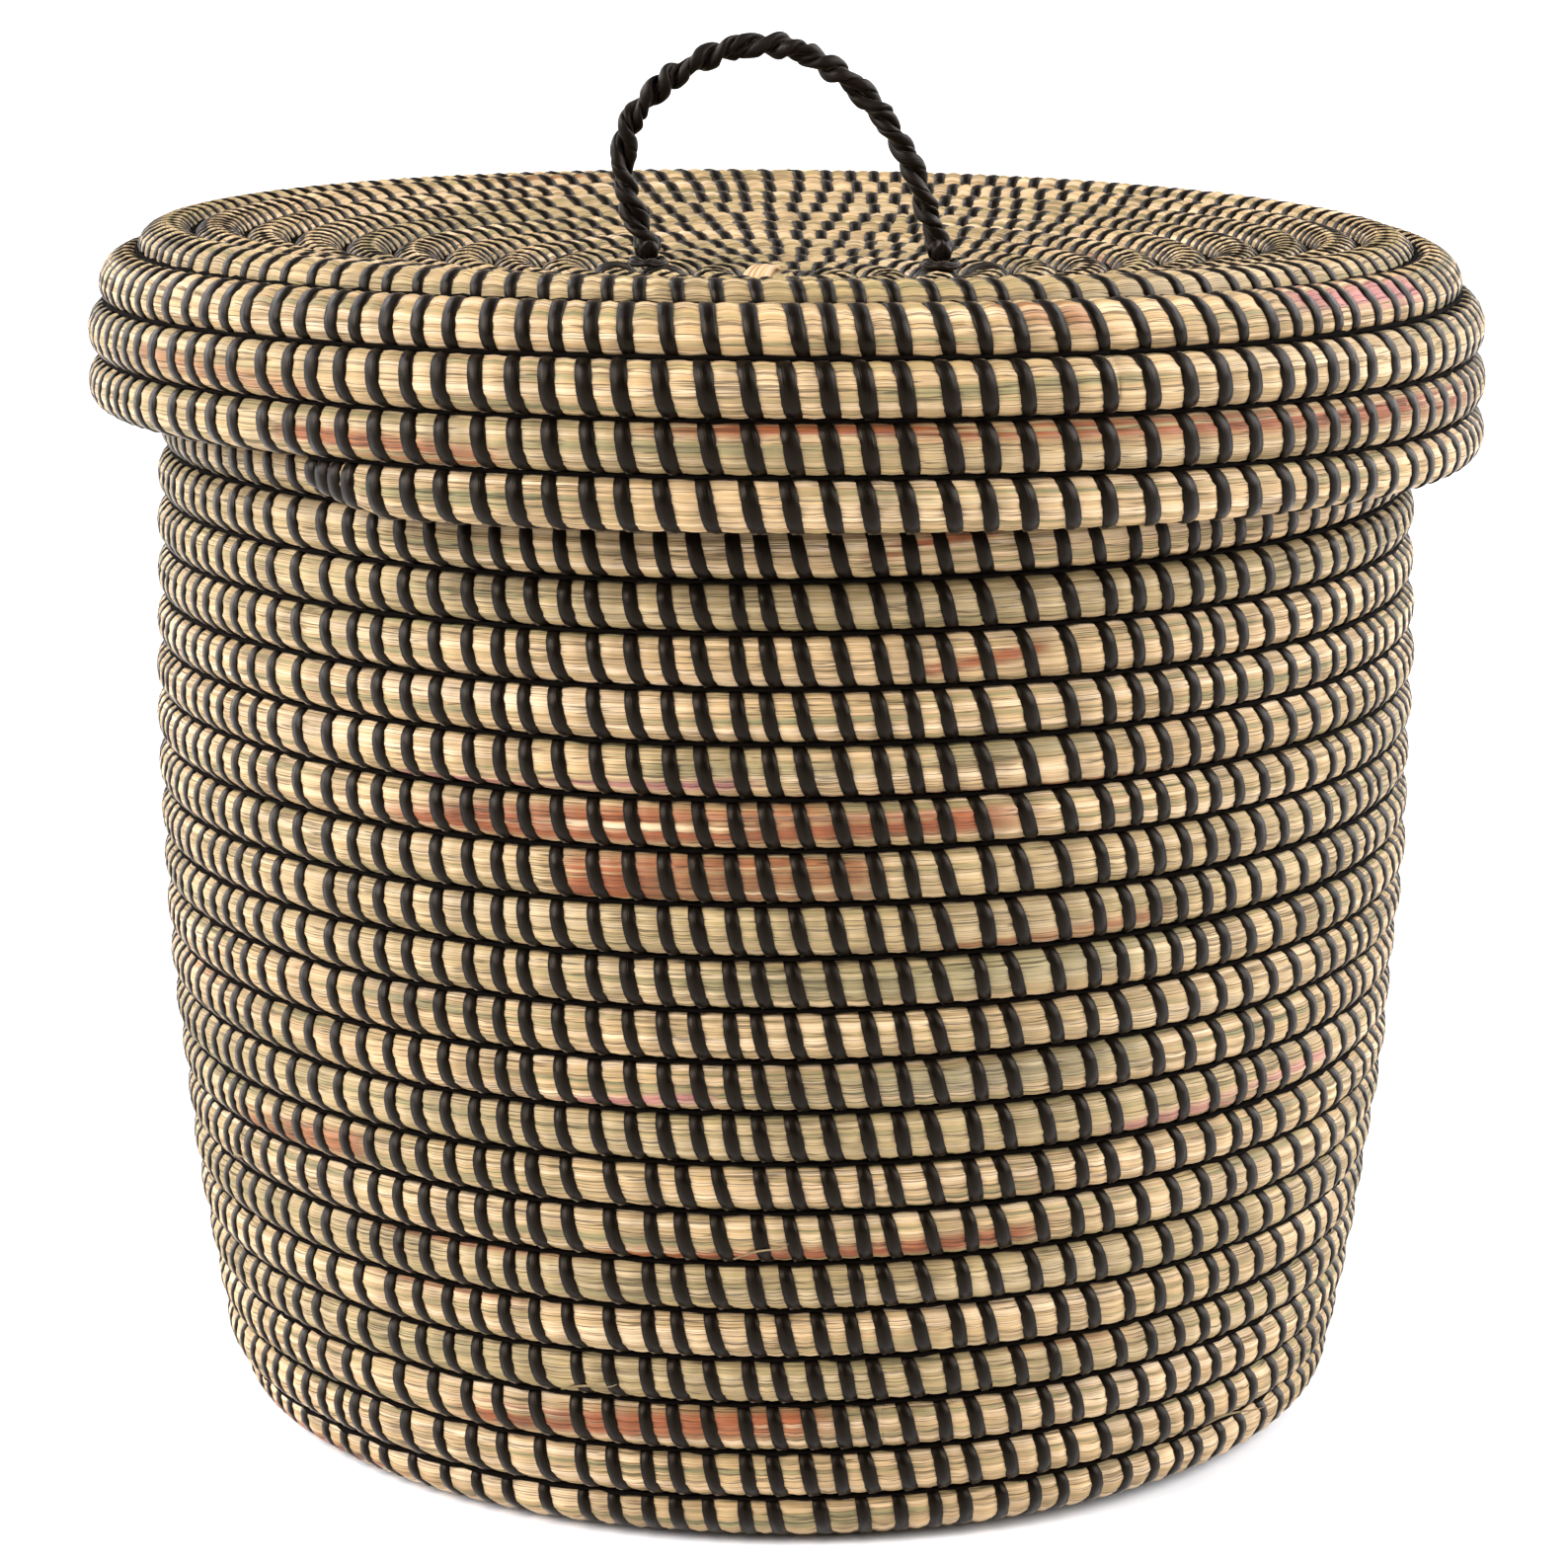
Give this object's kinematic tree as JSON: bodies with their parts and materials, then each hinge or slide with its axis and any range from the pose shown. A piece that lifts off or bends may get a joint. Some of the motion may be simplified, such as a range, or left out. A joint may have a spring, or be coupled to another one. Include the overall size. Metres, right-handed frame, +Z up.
{
  "type": "lidded coiled basket",
  "caption": "Round coiled grass storage basket stitched with black strip, with a dished lift-off lid and a twisted rope handle.",
  "frame": {"origin": "centre of the flat base, on the surface it stands on", "axes": "+Z up along the basket's axis, -Y towards the front, +X to the right; the handle's feet lie along X"},
  "size_m": [0.3436, 0.3436, 0.3405],
  "materials": {
    "seagrass": "dry grass bundle, satin fibres",
    "black_strip": "satin flat strip"
  },
  "bodies": {
    "basket": {"base_start_knot": "seagrass", "base_coil": "seagrass", "wall_coil": "seagrass", "rim_end_binding": "black_strip"},
    "lid": {"lid_start_knot": "seagrass", "lid_top_coil": "seagrass", "lid_skirt_coil": "seagrass", "lid_end_binding": "black_strip", "handle_anchor_left": "black_strip", "handle_anchor_right": "black_strip", "handle_tie_left": "black_strip", "handle_tie_right": "black_strip"},
    "handle": {"handle_eye_left": "black_strip", "handle_eye_right": "black_strip", "handle_strand_front": "black_strip", "handle_strand_back": "black_strip"}
  },
  "joints": [
    {"name": "lid_lift", "type": "slide", "parent": "basket", "child": "lid", "axis": [0, 0, 1], "range_m": [0, 0.12]},
    {"name": "handle_tilt", "type": "hinge", "parent": "lid", "child": "handle", "pos_m": [0, 0, 0.28728], "axis": [1, 0, 0], "range_deg": [-65, 65]}
  ]
}
